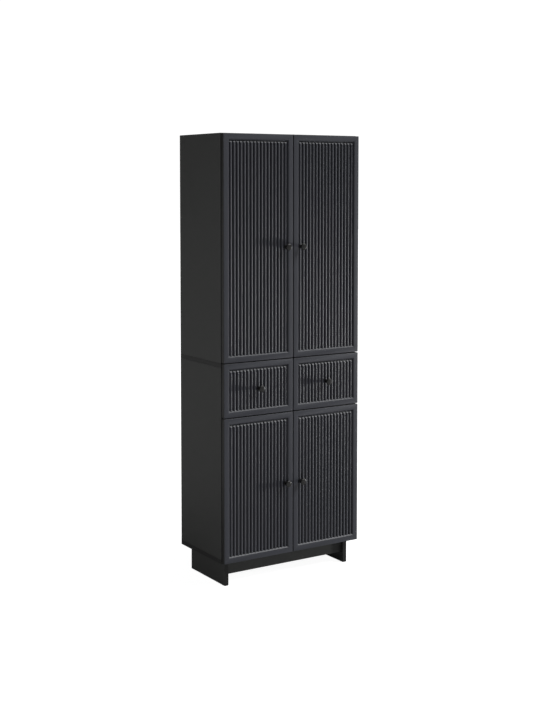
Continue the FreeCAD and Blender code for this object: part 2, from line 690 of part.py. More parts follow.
def write_parts():
    doc.recompute()
    broken = [obj.Name for obj in doc.Objects if "Invalid" in obj.State or "Error" in obj.State]
    if broken:
        raise RuntimeError("objects that failed: " + ", ".join(broken))
    for part in parts:
        if part.Shape.isNull() or not part.Shape.isValid() or not part.Shape.Solids:
            raise RuntimeError("no valid solid in " + part.Label)
    os.makedirs("parts", exist_ok=True)
    for part in parts:
        part.Shape.exportStep("parts/%s.step" % part.Label)
        box = part.Shape.BoundBox
        print("%-30s solids %2d  volume %10.0f  x %7.1f..%6.1f  y %7.1f..%6.1f  z %7.1f..%7.1f" % (
            part.Label, len(part.Shape.Solids), part.Shape.Volume,
            box.XMin, box.XMax, box.YMin, box.YMax, box.ZMin, box.ZMax))
    print(len(parts), "sub-parts written")


carcass_boards()
backs_and_wall_rail()
shelves_and_pins()
fasteners()
base()
doors()
drawers()
bumpers()
write_parts()
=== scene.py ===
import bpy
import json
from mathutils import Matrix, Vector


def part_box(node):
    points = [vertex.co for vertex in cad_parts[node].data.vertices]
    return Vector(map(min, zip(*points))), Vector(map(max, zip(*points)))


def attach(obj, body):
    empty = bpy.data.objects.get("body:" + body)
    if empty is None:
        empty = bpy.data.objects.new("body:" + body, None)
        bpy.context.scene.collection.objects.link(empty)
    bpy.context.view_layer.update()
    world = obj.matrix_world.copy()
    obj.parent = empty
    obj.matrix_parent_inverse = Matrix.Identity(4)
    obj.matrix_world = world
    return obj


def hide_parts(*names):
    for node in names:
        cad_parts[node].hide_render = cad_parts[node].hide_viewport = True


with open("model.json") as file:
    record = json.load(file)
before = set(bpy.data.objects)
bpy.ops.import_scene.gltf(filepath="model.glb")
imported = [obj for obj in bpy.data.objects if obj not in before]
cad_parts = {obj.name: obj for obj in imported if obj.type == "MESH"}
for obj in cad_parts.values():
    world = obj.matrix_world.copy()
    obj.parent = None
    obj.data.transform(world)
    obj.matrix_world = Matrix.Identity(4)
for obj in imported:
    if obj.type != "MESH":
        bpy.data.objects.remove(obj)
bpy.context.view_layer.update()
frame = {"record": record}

import json
import math
import bmesh
import bpy
from mathutils import Matrix, Vector

for spare in ("Cube", "Light", "Camera"):
    if spare in bpy.data.objects:
        bpy.data.objects.remove(bpy.data.objects[spare])

# Planes that many pieces share, read from the frame (metres, fronts face -Y).
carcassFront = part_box("upper_left_side")[0].y
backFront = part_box("upper_back")[0].y
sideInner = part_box("upper_right_side")[0].x
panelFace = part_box("upper_left_door_frame")[1].y
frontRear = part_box("upper_left_door_panel")[1].y
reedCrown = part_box("upper_left_door_panel")[0].y
nodeBody = {node: body for body, nodes in frame["record"]["behaviour"]["bodies"].items() for node in nodes}
upperDoors = ("upper_left_door", "upper_right_door")
lowerDoors = ("lower_left_door", "lower_right_door")
drawerFronts = ("left_drawer", "right_drawer")


def feed(tree, socket, value):
    if isinstance(value, Sock):
        tree.links.new(value.link, socket)
    else:
        socket.default_value = value


class Sock:  # an output socket that can be added, multiplied and so on
    def __init__(self, tree, link):
        self.tree = tree
        self.link = link

    def maths(self, operation, other=None, swapped=False):
        node = self.tree.nodes.new("ShaderNodeMath")
        node.operation = operation
        pair = (other, self) if swapped else (self, other)
        for socket, value in zip(node.inputs, pair):
            if value is not None:
                feed(self.tree, socket, value)
        return Sock(self.tree, node.outputs[0])

    def __add__(self, other):
        return self.maths("ADD", other)

    def __sub__(self, other):
        return self.maths("SUBTRACT", other)

    def __rsub__(self, other):
        return self.maths("SUBTRACT", other, True)

    def __mul__(self, other):
        return self.maths("MULTIPLY", other)

    __radd__ = __add__
    __rmul__ = __mul__


class Tree:  # one node tree; add() makes any node but Math and gives back one of its outputs
    def __init__(self, tree):
        self.tree = tree

    def add(self, kind, settings=None, inputs=None, out=0):
        node = self.tree.nodes.new(kind)
        for key, value in (settings or {}).items():
            setattr(node, key, value)
        for key, value in (inputs or {}).items():
            feed(self.tree, node.inputs[key], value)
        return Sock(self.tree, node.outputs[out]) if node.outputs else node

    def mixed(self, share, low, high):  # from one colour to another
        return self.add("ShaderNodeMix", {"data_type": "RGBA"}, {0: share, 6: low, 7: high}, 2)


def grey(value, tint=(1.0, 1.0, 1.0)):
    return tuple(value * part for part in tint) + (1.0,)


def newMaterial(name):
    material = bpy.data.materials.new(name)
    material.use_nodes = True
    material.node_tree.nodes.clear()
    return material, Tree(material.node_tree)


def principled(tree, inputs):
    shader = tree.add("ShaderNodeBsdfPrincipled", None, inputs)
    tree.add("ShaderNodeOutputMaterial", None, {"Surface": shader})


boardNoise = {"cloudScale": 5.0, "cloudShare": 0.55, "grainShare": 0.45, "grainSheen": 0.12,
              "grainHeight": 0.00025, "speckScale": 260.0, "speckSize": 0.07}


def satinBoard(name, look):
    # A dark sheet finish: slow clouding in tone and sheen, a fine pressed grain, a few dust specks.
    noise = boardNoise
    material, tree = newMaterial(name)
    place = tree.add("ShaderNodeTexCoord", out="Object")
    cloud = tree.add("ShaderNodeTexNoise", None,
                     {"Vector": place, "Scale": noise["cloudScale"], "Detail": 3.0})
    stretched = tree.add("ShaderNodeMapping", None, {"Vector": place, "Scale": look["stretch"]})
    grain = tree.add("ShaderNodeTexNoise", None,
                     {"Vector": stretched, "Scale": look["grain"], "Detail": 5.0, "Roughness": 0.65})
    speck = tree.add("ShaderNodeTexVoronoi", None,
                     {"Vector": place, "Scale": noise["speckScale"]}, "Distance")
    dust = speck.maths("LESS_THAN", noise["speckSize"]) * look["dust"]
    tone = cloud * noise["cloudShare"] + grain * noise["grainShare"] + dust
    colour = tree.mixed(tone, look["low"], look["high"])
    sheen = look["rough"] + (cloud - 0.5) * look["roughSpread"] + (grain - 0.5) * noise["grainSheen"]
    bump = tree.add("ShaderNodeBump", None,
                    {"Height": grain, "Strength": look["bump"], "Distance": noise["grainHeight"]})
    principled(tree, {"Base Color": colour, "Roughness": sheen, "Normal": bump,
                      "Specular IOR Level": look["specular"]})
    return material


caseTint = (0.98, 1.02, 0.97)  # a trace of green
frontTint = (0.93, 1.0, 1.32)  # bluish charcoal
carcassLook = {"low": grey(0.018, caseTint), "high": grey(0.030, caseTint), "rough": 0.52,
               "roughSpread": 0.10, "bump": 0.35, "grain": 900.0, "stretch": (1.0, 1.0, 0.35),
               "specular": 0.42, "dust": 0.10}
frontLook = {"low": grey(0.024, frontTint), "high": grey(0.036, frontTint), "rough": 0.50,
             "roughSpread": 0.06, "bump": 0.02, "grain": 260.0, "stretch": (1.0, 1.0, 0.12),
             "specular": 0.5, "dust": 0.0}
# Painted shade: the same lacquer made darker for the board face between the reeds, standing in for the
# shade in the grooves.
grooveShadeLook = dict(frontLook, low=grey(0.010, frontTint), high=grey(0.015, frontTint))
edgeLook = {"low": grey(0.006), "high": grey(0.011), "rough": 0.46,
            "roughSpread": 0.06, "bump": 0.10, "grain": 500.0, "stretch": (1.0, 1.0, 0.2),
            "specular": 0.32, "dust": 0.0}
backLook = {"low": grey(0.020), "high": grey(0.034), "rough": 0.72,
            "roughSpread": 0.10, "bump": 0.45, "grain": 420.0, "stretch": (1.0, 1.0, 1.0),
            "specular": 0.35, "dust": 0.12}
boxLook = {"low": grey(0.026), "high": grey(0.042), "rough": 0.58,
           "roughSpread": 0.10, "bump": 0.30, "grain": 800.0, "stretch": (0.3, 1.0, 1.0),
           "specular": 0.42, "dust": 0.10}
carcassFace = satinBoard("carcassFace", carcassLook)
frontPaint = satinBoard("frontPaint", frontLook)
groovePaint = satinBoard("groovePaint", grooveShadeLook)
edgeBand = satinBoard("edgeBand", edgeLook)
backSheet = satinBoard("backSheet", backLook)
boxBoard = satinBoard("boxBoard", boxLook)


coatLook = {"low": grey(0.007), "high": grey(0.016), "rough": 0.26, "roughSpread": 0.14,
            "pebbleScale": 1400.0, "pebbleShare": 0.6, "cloudScale": 60.0, "cloudShare": 0.4,
            "bump": 0.35, "height": 0.0002}


def powderCoat(look):
    # Knobs: black powder coat, a fine pebbled skin.
    material, tree = newMaterial("powderCoat")
    place = tree.add("ShaderNodeTexCoord", out="Object")
    pebble = tree.add("ShaderNodeTexNoise", None,
                      {"Vector": place, "Scale": look["pebbleScale"], "Detail": 2.0})
    cloud = tree.add("ShaderNodeTexNoise", None,
                     {"Vector": place, "Scale": look["cloudScale"], "Detail": 2.0})
    tone = pebble * look["pebbleShare"] + cloud * look["cloudShare"]
    bump = tree.add("ShaderNodeBump", None,
                    {"Height": pebble, "Strength": look["bump"], "Distance": look["height"]})
    principled(tree, {"Base Color": tree.mixed(tone, look["low"], look["high"]),
                      "Roughness": look["rough"] + cloud * look["roughSpread"], "Normal": bump})
    return material


drawnMetal = {"stretch": (1.0, 0.04, 1.0), "lineScale": 2200.0, "lineSheen": 0.2, "cloudScale": 90.0,
              "cloudSheen": 0.15, "bump": 0.15, "height": 0.0001}


def platedSteel(name, look):
    # Pressed steel under nickel or zinc: faint drawing lines and cloudy sheen.
    drawing = drawnMetal
    material, tree = newMaterial(name)
    place = tree.add("ShaderNodeTexCoord", out="Object")
    lines = tree.add("ShaderNodeMapping", None, {"Vector": place, "Scale": drawing["stretch"]})
    drawn = tree.add("ShaderNodeTexNoise", None,
                     {"Vector": lines, "Scale": drawing["lineScale"], "Detail": 3.0})
    cloud = tree.add("ShaderNodeTexNoise", None,
                     {"Vector": place, "Scale": drawing["cloudScale"], "Detail": 3.0})
    sheen = look["rough"] + (drawn - 0.5) * drawing["lineSheen"] + (cloud - 0.5) * drawing["cloudSheen"]
    bump = tree.add("ShaderNodeBump", None,
                    {"Height": drawn, "Strength": drawing["bump"], "Distance": drawing["height"]})
    principled(tree, {"Base Color": tree.mixed(cloud, look["low"], look["high"]), "Metallic": 1.0,
                      "Normal": bump, "Roughness": sheen})
    return material


plasticLook = {"mottleScale": 700.0, "mottleSheen": 0.1, "spread": 0.2, "bump": 0.2, "height": 0.0002}


def softPlastic(name, tone, rough):
    look = plasticLook
    material, tree = newMaterial(name)
    place = tree.add("ShaderNodeTexCoord", out="Object")
    mottle = tree.add("ShaderNodeTexNoise", None,
                      {"Vector": place, "Scale": look["mottleScale"], "Detail": 3.0})
    low, high = grey(tone * (1 - look["spread"])), grey(tone * (1 + look["spread"]))
    bump = tree.add("ShaderNodeBump", None,
                    {"Height": mottle, "Strength": look["bump"], "Distance": look["height"]})
    principled(tree, {"Base Color": tree.mixed(mottle, low, high), "Normal": bump,
                      "Roughness": rough + (mottle - 0.5) * look["mottleSheen"]})
    return material


knobCoat = powderCoat(coatLook)
zincTint = (0.97, 1.0, 1.04)
nickel = platedSteel("nickel", {"low": grey(0.50), "high": grey(0.62), "rough": 0.28})
zinc = platedSteel("zinc", {"low": grey(0.36, zincTint), "high": grey(0.50, zincTint), "rough": 0.42})
blackPlastic = softPlastic("blackPlastic", 0.03, 0.5)
clearGrey = softPlastic("clearGrey", 0.22, 0.35)
print("finishes made")


def addObject(name, mesh):
    piece = bpy.data.objects.new(name, mesh)
    bpy.context.scene.collection.objects.link(piece)
    return piece


def fromBmesh(name, bm, materials):
    bmesh.ops.recalc_face_normals(bm, faces=bm.faces)
    mesh = bpy.data.meshes.new(name)
    bm.to_mesh(mesh)
    bm.free()
    for material in materials:
        mesh.materials.append(material)
    return addObject(name, mesh)


def baked(piece):
    # Replaces the piece's data by its evaluated mesh and drops its modifiers.
    view = bpy.context.evaluated_depsgraph_get()
    view.update()
    mesh = bpy.data.meshes.new_from_object(piece.evaluated_get(view), depsgraph=view)
    piece.modifiers.clear()
    piece.data = mesh
    return piece


def smoothed(piece, degrees=32):
    piece.data.polygons.foreach_set("use_smooth", [True] * len(piece.data.polygons))
    piece.data.set_sharp_from_angle(angle=math.radians(degrees))
    return piece


def settle(piece, nodes, body=None):
    # Last step for each piece: what it rides on and what it stands for.
    nodes = [nodes] if isinstance(nodes, str) else list(nodes)
    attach(piece, body or nodeBody[nodes[0]])
    if nodes:
        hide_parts(*nodes)
    return piece


def addBox(bm, lo, hi, arris, segments=2):
    made = bmesh.ops.create_cube(bm, size=1.0)["verts"]
    for vertex in made:
        vertex.co = Vector([a if c < 0 else b for c, a, b in zip(vertex.co, lo, hi)])
    if arris:
        edges = list({edge for vertex in made for edge in vertex.link_edges})
        bmesh.ops.bevel(bm, geom=edges, offset=arris, segments=segments, profile=0.5, affect="EDGES")


def turnedTo(axis):
    return Vector((0, 0, 1)).rotation_difference(Vector(axis)).to_matrix().to_4x4()


def subtract(piece, cutter):
    modifier = piece.modifiers.new("cut", "BOOLEAN")
    modifier.object = cutter
    modifier.solver = "EXACT"
    baked(piece)
    bpy.data.objects.remove(cutter)


def cutBores(piece, bores, mouth=0.001):
    # bores: (mouth centre, direction into the wood, radius, depth)
    bm = bmesh.new()
    for centre, axis, radius, depth in bores:
        middle = Vector(centre) + Vector(axis) * (depth - mouth) / 2
        bmesh.ops.create_cone(bm, cap_ends=True, segments=28, radius1=radius, radius2=radius,
                              depth=depth + mouth, matrix=Matrix.Translation(middle) @ turnedTo(axis))
    subtract(piece, fromBmesh("cutter", bm, []))


def bandEdges(piece, lo, hi):
    # Slot 0 on the two broad faces, slot 1 (edge band) on everything else.
    size = [b - a for a, b in zip(lo, hi)]
    thin = size.index(min(size))
    for face in piece.data.polygons:
        broad = abs(face.normal[thin]) > 0.9
        outer = min(abs(face.center[thin] - lo[thin]), abs(face.center[thin] - hi[thin])) < 0.0002
        face.material_index = 0 if broad and outer else 1
    return piece


boardLook = {"arris": 0.0007, "segments": 2}


def board(name, lo, hi, materials, bores=()):
    bm = bmesh.new()
    addBox(bm, lo, hi, boardLook["arris"], boardLook["segments"])
    piece = fromBmesh(name, bm, materials)
    if bores:
        cutBores(piece, bores)
    return bandEdges(piece, lo, hi)


def lathe(bm, profile, centre, axis, segments=40):
    # profile: (radius, distance along the axis) from one end of the turned shape to the other
    place = Matrix.Translation(centre) @ turnedTo(axis)
    profile = [point for k, point in enumerate(profile)
               if k == 0 or math.dist(point, profile[k - 1]) > 1e-6]
    rings = []
    for radius, along in profile:
        if radius < 1e-7:
            rings.append([bm.verts.new(place @ Vector((0, 0, along)))])
            continue
        ring = []
        for step in range(segments):
            angle = math.tau * step / segments
            spot = Vector((radius * math.cos(angle), radius * math.sin(angle), along))
            ring.append(bm.verts.new(place @ spot))
        rings.append(ring)
    for near, far in zip(rings, rings[1:]):
        for step in range(segments):
            after = (step + 1) % segments
            corners = [near[step % len(near)], near[after % len(near)],
                       far[after % len(far)], far[step % len(far)]]
            corners = list(dict.fromkeys(corners))  # at a pole two corners are one
            if len(corners) > 2:
                bm.faces.new(corners)


quarter = [math.pi / 2 * k / 4 for k in range(5)]  # angles of a rounded corner


def arc(centre, radius, start, end, steps):
    return [(centre[0] + radius * math.cos(math.radians(start + (end - start) * k / steps)),
             centre[1] + radius * math.sin(math.radians(start + (end - start) * k / steps)))
            for k in range(steps + 1)]


def newModifierTree(name, inputs):
    group = bpy.data.node_groups.new(name, "GeometryNodeTree")
    group.interface.new_socket("Geometry", in_out="OUTPUT", socket_type="NodeSocketGeometry")
    group.interface.new_socket("Geometry", in_out="INPUT", socket_type="NodeSocketGeometry")
    for label, kind in inputs:
        group.interface.new_socket(label, in_out="INPUT", socket_type=kind)
    tree = Tree(group)
    entry = tree.add("NodeGroupInput").link.node
    sockets = {item.name: Sock(group, item) for item in entry.outputs if item.name}
    return group, tree, sockets


def runTree(piece, group, values):
    modifier = piece.modifiers.new(group.name, "NODES")
    modifier.node_group = group
    for item in group.interface.items_tree:
        if item.item_type == "SOCKET" and item.in_out == "INPUT" and item.name in values:
            modifier[item.identifier] = values[item.name]
    return baked(piece)


def reedTree():
    # A row of half-round reeds on the front of a panel, cut off aslant at their top ends.
    group, tree, given = newModifierTree("reedRow", [
        ("Count", "NodeSocketInt"), ("Pitch", "NodeSocketFloat"), ("Half Width", "NodeSocketFloat"),
        ("Rise", "NodeSocketFloat"), ("Length", "NodeSocketFloat"), ("Top Slope", "NodeSocketFloat"),
        ("Start", "NodeSocketVector"), ("Finish", "NodeSocketMaterial")])
    top = tree.add("ShaderNodeCombineXYZ", None, {"Z": given["Length"]})
    line = tree.add("GeometryNodeCurvePrimitiveLine", None, {"End": top})
    section = tree.add("GeometryNodeCurveArc", {"mode": "POINTS"}, {
        "Resolution": 17,
        "Start": tree.add("ShaderNodeCombineXYZ", None, {"X": given["Half Width"] * -1.0}),
        "Middle": tree.add("ShaderNodeCombineXYZ", None, {"Y": given["Rise"] * -1.0}),
        "End": tree.add("ShaderNodeCombineXYZ", None, {"X": given["Half Width"]})})
    section = tree.add("GeometryNodeSetSplineCyclic", None, {0: section, "Cyclic": True})
    reed = tree.add("GeometryNodeCurveToMesh", None,
                    {"Curve": line, "Profile Curve": section, "Fill Caps": True})
    place = tree.add("GeometryNodeInputPosition")
    forward = tree.add("ShaderNodeSeparateXYZ", None, {0: place}, "Y")
    height = tree.add("ShaderNodeSeparateXYZ", None, {0: place}, "Z")
    atTop = height.maths("GREATER_THAN", given["Length"] * 0.5)
    slope = tree.add("ShaderNodeCombineXYZ", None, {"Z": forward * atTop * given["Top Slope"]})
    reed = tree.add("GeometryNodeSetPosition", None, {"Geometry": reed, "Offset": slope})
    offset = tree.add("ShaderNodeCombineXYZ", None, {"X": given["Pitch"]})
    spots = tree.add("GeometryNodeMeshLine", None, {
        "Count": given["Count"], "Start Location": given["Start"], "Offset": offset})
    row = tree.add("GeometryNodeInstanceOnPoints", None, {"Points": spots, "Instance": reed})
    row = tree.add("GeometryNodeRealizeInstances", None, {"Geometry": row})
    row = tree.add("GeometryNodeSetMaterial", None, {"Geometry": row, "Material": given["Finish"]})
    join = tree.add("GeometryNodeJoinGeometry", None, {0: row})
    feed(group, join.link.node.inputs[0], given["Geometry"])
    tree.add("NodeGroupOutput", None, {0: join})
    return group


def scatterTree():
    # Copies of one small part on the points of a mesh, turned by the points' own angles.
    group, tree, given = newModifierTree("scatter", [
        ("Part", "NodeSocketObject"), ("Finish", "NodeSocketMaterial")])
    turn = tree.add("GeometryNodeInputNamedAttribute", {"data_type": "FLOAT_VECTOR"}, {"Name": "turn"})
    turn = tree.add("FunctionNodeEulerToRotation", None, {0: turn})
    part = tree.add("GeometryNodeObjectInfo", {"transform_space": "ORIGINAL"},
                    {"Object": given["Part"]}, "Geometry")
    copies = tree.add("GeometryNodeInstanceOnPoints", None,
                      {"Points": given["Geometry"], "Instance": part, "Rotation": turn})
    copies = tree.add("GeometryNodeRealizeInstances", None, {"Geometry": copies})
    copies = tree.add("GeometryNodeSetMaterial", None, {"Geometry": copies, "Material": given["Finish"]})
    tree.add("NodeGroupOutput", None, {0: copies})
    return group


reedRow = reedTree()
scatter = scatterTree()


def scattered(name, part, places, finish, degrees=32):
    # places: (position, direction that the part's own +Z takes)
    mesh = bpy.data.meshes.new(name)
    mesh.from_pydata([tuple(where) for where, axis in places], [], [])
    turns = mesh.attributes.new("turn", "FLOAT_VECTOR", "POINT")
    for index, (where, axis) in enumerate(places):
        turns.data[index].vector = Vector((0, 0, 1)).rotation_difference(Vector(axis)).to_euler()
    piece = runTree(addObject(name, mesh), scatter, {"Part": part, "Finish": finish})
    return smoothed(piece, degrees)


def turnedPart(name, profile, segments=32):
    bm = bmesh.new()
    lathe(bm, profile, Vector(), (0, 0, 1), segments)
    bmesh.ops.remove_doubles(bm, verts=bm.verts, dist=1e-7)
    return fromBmesh(name, bm, [])


def crossCut(part, size, depth, top):
    # A cross recess in the head of a screw or cam, its arms 22 % as wide as they are long.
    narrow = size * 0.22
    for x, y in ((size, narrow), (narrow, size)):
        bm = bmesh.new()
        addBox(bm, (-x, -y, top - depth), (x, y, top + 0.001), 0)
        subtract(part, fromBmesh("cross", bm, []))
    return part


print("node trees made")


viewPoint = {"place": (-2.7321, -4.2766, 1.6069), "yaw": 32.504, "down": 3.5, "lens": 61.502,
             "sensor": 36.0, "shift": -0.1419}


def makeCamera():
    data = bpy.data.cameras.new("view")
    data.lens = viewPoint["lens"]
    data.sensor_width = viewPoint["sensor"]
    data.shift_y = viewPoint["shift"]
    camera = bpy.data.objects.new("view", data)
    camera.location = viewPoint["place"]
    camera.rotation_euler = (math.radians(90 - viewPoint["down"]), 0, -math.radians(viewPoint["yaw"]))
    bpy.context.scene.collection.objects.link(camera)
    bpy.context.scene.camera = camera


# size: width and height of a panel lamp in metres, or the sun's breadth in degrees
lightRig = {
    "key": {"kind": "AREA", "place": (4.38, -1.18, 0.46), "aim": (0.0, -0.16, 0.95),
            "size": (0.36, 0.24), "power": 102.0},
    "top": {"kind": "SUN", "place": (2.75, -2.25, 4.4), "aim": (0.0, 0.0, 0.9),
            "size": (24.0, 0.0), "power": 2.9},
    "left": {"kind": "AREA", "place": (-3.3, 0.9, 0.85), "aim": (-0.3, 0.0, 0.80),
             "size": (1.6, 3.0), "power": 29.5},
}


def makeLights():
    for name, rig in lightRig.items():
        data = bpy.data.lights.new(name, rig["kind"])
        data.energy = rig["power"]
        if rig["kind"] == "SUN":
            data.angle = math.radians(rig["size"][0])
        else:
            data.shape = "RECTANGLE"
            data.size, data.size_y = rig["size"]
        lamp = bpy.data.objects.new(name, data)
        lamp.location = rig["place"]
        towards = Vector(rig["aim"]) - Vector(rig["place"])
        lamp.rotation_euler = towards.to_track_quat("-Z", "Y").to_euler()
        bpy.context.scene.collection.objects.link(lamp)


studio = {"dome": 0.07, "floorTone": 0.45, "floorGlow": 0.95, "floorBounce": 0.05, "floorHalf": 30.0}


def makeWorld():
    # The sky is plain white to look at, and a soft dome of light for the cabinet.
    world = bpy.data.worlds.new("studio")
    world.use_nodes = True
    world.node_tree.nodes.clear()
    tree = Tree(world.node_tree)
    seen = tree.add("ShaderNodeLightPath", out="Is Camera Ray")
    sky = tree.add("ShaderNodeBackground", None, {"Color": grey(1.0), "Strength": studio["dome"] + seen})
    tree.add("ShaderNodeOutputWorld", None, {"Surface": sky})
    bpy.context.scene.world = world


def makeFloor():
    # Plain and pale, glowing a little so that it meets the white sky without an edge.
    bm = bmesh.new()
    bmesh.ops.create_grid(bm, x_segments=1, y_segments=1, size=studio["floorHalf"])
    floor = fromBmesh("studioFloor", bm, [])
    material, tree = newMaterial("paleFloor")
    seen = tree.add("ShaderNodeLightPath", out="Is Camera Ray")
    glow = tree.mixed(seen, grey(studio["floorBounce"]), grey(studio["floorGlow"]))
    principled(tree, {"Base Color": grey(studio["floorTone"]), "Roughness": 0.8, "Specular IOR Level": 0.2,
                      "Emission Color": glow, "Emission Strength": 1.0})
    floor.data.materials.append(material)


makeCamera()
makeLights()
makeWorld()
makeFloor()
bpy.context.scene.view_settings.view_transform = "Standard"
print("camera, light and floor made")


caseFinish = (carcassFace, edgeBand)
borePlay = 0.0001  # a bore is this much wider than what sits in it
shelfPins = {"radius": 0.0025, "rowInset": 0.050, "pitch": 0.032, "steps": (-2, -1, 0, 1, 2),
             "depth": 0.010, "reach": 0.008, "rootEdge": 0.0005, "tipEdge": 0.0008}
camLocks = {"radius": 0.0075, "inset": 0.034, "setback": 0.070, "depth": 0.0125, "cross": 0.0042,
            "crossDepth": 0.0025}
moduleBolts = {"radius": 0.003, "inset": 0.060, "head": 0.0065, "headThick": 0.005, "edge": 0.0006,
               "cross": 0.0030, "crossDepth": 0.0018, "bore": 0.020}
wallHoles = {"radius": 0.00275, "spacing": 0.400, "bore": 0.020}
glides = {"radius": 0.007, "thick": 0.002, "inset": 0.022, "edge": 0.0012}

pinRows = (carcassFront + shelfPins["rowInset"], backFront - shelfPins["rowInset"])
upperShelves = ("upper_shelf_low", "upper_shelf_middle", "upper_shelf_high")
camBoards = ("upper_top", "upper_bottom", "drawer_deck")


def pinHeight(shelf):
    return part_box(shelf)[0].z - shelfPins["radius"]


def sideBoards():
    for module, shelves in (("upper", upperShelves), ("lower", ("lower_shelf",))):
        for hand, sign in (("left", -1), ("right", 1)):
            node = "%s_%s_side" % (module, hand)
            bores = [((sign * sideInner, row, pinHeight(shelf) + step * shelfPins["pitch"]), (sign, 0, 0),
                      shelfPins["radius"] + borePlay, shelfPins["depth"])
                     for shelf in shelves for step in shelfPins["steps"] for row in pinRows]
            lo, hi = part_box(node)
            name = "%s%sSide" % (module, hand.capitalize())
            settle(board(name, lo, hi, caseFinish, bores), node)


def camSpots(node):
    across = sideInner - camLocks["inset"]
    rows = (carcassFront + camLocks["setback"], backFront - camLocks["setback"])
    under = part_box(node)[0].z
    return [(sign * across, row, under) for sign in (-1, 1) for row in rows]


def boltSpots():
    across = sideInner - moduleBolts["inset"]
    rows = (carcassFront + moduleBolts["inset"], backFront - moduleBolts["inset"])
    return [(sign * across, row) for sign in (-1, 1) for row in rows]


def levelBoards():
    up = (0, 0, 1)
    camBore = (up, camLocks["radius"] + borePlay, camLocks["depth"])
    bores = {node: [(spot,) + camBore for spot in camSpots(node)] for node in camBoards}
    for node in ("upper_bottom", "lower_top"):
        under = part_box(node)[0].z
        bores.setdefault(node, []).extend(
            ((x, y, under), up, moduleBolts["radius"] + borePlay, moduleBolts["bore"])
            for x, y in boltSpots())
    names = {"upper_top": "upperTop", "upper_bottom": "upperBottom", "lower_top": "lowerTop",
             "lower_bottom": "lowerBottom", "drawer_deck": "drawerDeck", "drawer_divider": "drawerDivider",
             "upper_shelf_low": "upperShelfLow", "upper_shelf_middle": "upperShelfMiddle",
             "upper_shelf_high": "upperShelfHigh", "lower_shelf": "lowerShelf"}
    for node, name in names.items():
        lo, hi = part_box(node)
        settle(board(name, lo, hi, caseFinish, bores.get(node, ())), node)


def backsAndRail():
    height = (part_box("wall_rail")[0].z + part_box("wall_rail")[1].z) / 2
    for node, name, finish, slot in (("upper_back", "upperBack", (backSheet, edgeBand), "back_panel"),
                                     ("lower_back", "lowerBack", (backSheet, edgeBand), "back_panel"),
                                     ("wall_rail", "wallRail", caseFinish, "carcass_board")):
        lo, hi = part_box(node)
        across = wallHoles["spacing"] / 2
        bores = [] if node == "lower_back" else [
            ((sign * across, lo.y, height), (0, 1, 0), wallHoles["radius"], wallHoles["bore"])
            for sign in (-1, 1)]
        settle(board(name, lo, hi, finish, bores), node)


def base():
    for node, name in (("left_foot", "leftFoot"), ("right_foot", "rightFoot"),
                       ("base_apron", "baseApron"), ("base_back_rail", "baseBackRail")):
        lo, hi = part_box(node)
        settle(board(name, lo, hi, caseFinish), node)
    radius, thick, inset, edge = glides["radius"], glides["thick"], glides["inset"], glides["edge"]
    glide = turnedPart("glide", [(0, 0), (radius - edge, 0)] + arc((radius - edge, edge), edge, -90, 0, 4)
                       + [(radius, thick), (0, thick)])
    places = []
    for node in ("left_foot", "right_foot"):
        lo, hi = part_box(node)
        for y in (lo.y + inset, hi.y - inset):
            places.append((((lo.x + hi.x) / 2, y, 0.0), (0, 0, 1)))
    settle(scattered("footGlides", glide, places, blackPlastic), "foot_glides")
    bpy.data.objects.remove(glide)


sideBoards()
levelBoards()
backsAndRail()
base()
print("carcass made")


def pins():
    r, reach, depth = shelfPins["radius"], shelfPins["reach"], shelfPins["depth"]
    root, tip = shelfPins["rootEdge"], shelfPins["tipEdge"]
    pin = turnedPart("pin", [(0, -depth), (r - root, -depth), (r, -depth + root), (r, 0), (r, reach - tip)]
                     + arc((r - tip, reach - tip), tip, 0, 90, 4) + [(0, reach)])
    places = [((sign * sideInner, row, pinHeight(shelf)), (-sign, 0, 0))
              for shelf in upperShelves + ("lower_shelf",) for sign in (-1, 1) for row in pinRows]
    settle(scattered("shelfPins", pin, places, nickel), "shelf_pins")
    bpy.data.objects.remove(pin)


def cams():
    r, depth = camLocks["radius"], camLocks["depth"]
    cam = turnedPart("cam", [(0, 0.0003), (r - 0.0012, 0.0003), (r - 0.0008, 0), (r, 0.0004),
                             (r, depth), (0, depth)])  # a thin raised rim round the slotted face
    crossCut(cam, camLocks["cross"], camLocks["crossDepth"], 0.0)
    places = [(spot, (0, 0, 1)) for node in camBoards for spot in camSpots(node)]
    settle(scattered("camLocks", cam, places, zinc), "cam_locks")
    bpy.data.objects.remove(cam)


def bolts():
    # A connector from below the lower module's top to above the upper one's bottom, a head at each end.
    r, head, edge = moduleBolts["radius"], moduleBolts["head"], moduleBolts["edge"]
    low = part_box("module_bolts")[0].z
    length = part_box("module_bolts")[1].z - low
    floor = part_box("upper_bottom")[1].z - low
    under = moduleBolts["headThick"]
    rise = length - floor
    profile = [(0, 0), (head - edge, 0), (head, edge), (head, under - edge), (head - edge, under),
               (r, under), (r, floor), (head - edge / 2, floor), (head, floor + edge / 2)]
    profile += arc((head - rise * 0.6, floor + rise * 0.4), rise * 0.6, 0, 90, 5) + [(0, length)]
    bolt = turnedPart("bolt", profile)
    crossCut(bolt, moduleBolts["cross"], moduleBolts["crossDepth"], length)
    places = [((x, y, low), (0, 0, 1)) for x, y in boltSpots()]
    settle(scattered("moduleBolts", bolt, places, nickel), "module_bolts")
    bpy.data.objects.remove(bolt)


bumperLook = {"radius": 0.0028, "inset": 0.004, "side": 0.025, "skirt": 0.35}


